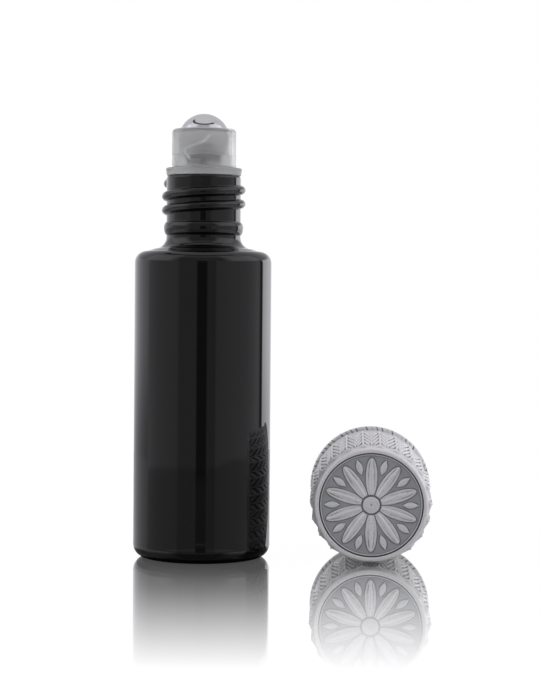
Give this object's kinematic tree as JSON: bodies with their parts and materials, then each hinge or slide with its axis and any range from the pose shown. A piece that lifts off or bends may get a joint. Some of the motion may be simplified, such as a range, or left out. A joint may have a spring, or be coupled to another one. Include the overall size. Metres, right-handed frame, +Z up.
{
  "type": "roll on bottle",
  "caption": "Small round black glass roll on bottle with a steel roller ball in a push in plastic fitting and a fluted metal screw cap lying beside it.",
  "frame": {"origin": "centre of the bottle's standing ring, on the surface it stands on", "axes": "+Z up the bottle's axis, -Y to the front of the picture, +X towards the loose cap"},
  "size_m": [0.0468, 0.0259, 0.0681],
  "materials": {
    "black_glass": "opaque, high gloss",
    "frosted_plastic": "translucent, satin",
    "polished_steel": "mirror polished",
    "antiqued_metal": "antiqued silver, satin",
    "antiqued_badge": "antiqued silver, satin",
    "white_plastic": "satin",
    "soft_seal": "matte"
  },
  "bodies": {
    "bottle": {"glass_bottle": "black_glass"},
    "fitment": {"roller_housing": "frosted_plastic"},
    "ball": {"roller_ball": "polished_steel"},
    "cap": {"cap_shell": "antiqued_metal", "cap_badge": "antiqued_badge", "cap_liner": "white_plastic", "cap_seal": "soft_seal"}
  },
  "joints": [
    {"name": "fitment_pull", "type": "slide", "parent": "bottle", "child": "fitment", "axis": [0, 0, 1], "range_m": [0, 0.02]},
    {"name": "ball_roll", "type": "hinge", "parent": "fitment", "child": "ball", "pos_m": [0, 0, 0.0641], "axis": [1, 0, 0], "continuous": true},
    {"name": "cap_turn", "type": "hinge", "parent": "bottle", "child": "cap", "pos_m": [0.02675, 0.01497, 0.00965], "axis": [-0.0436, -0.9988, -0.0213], "continuous": true}
  ]
}
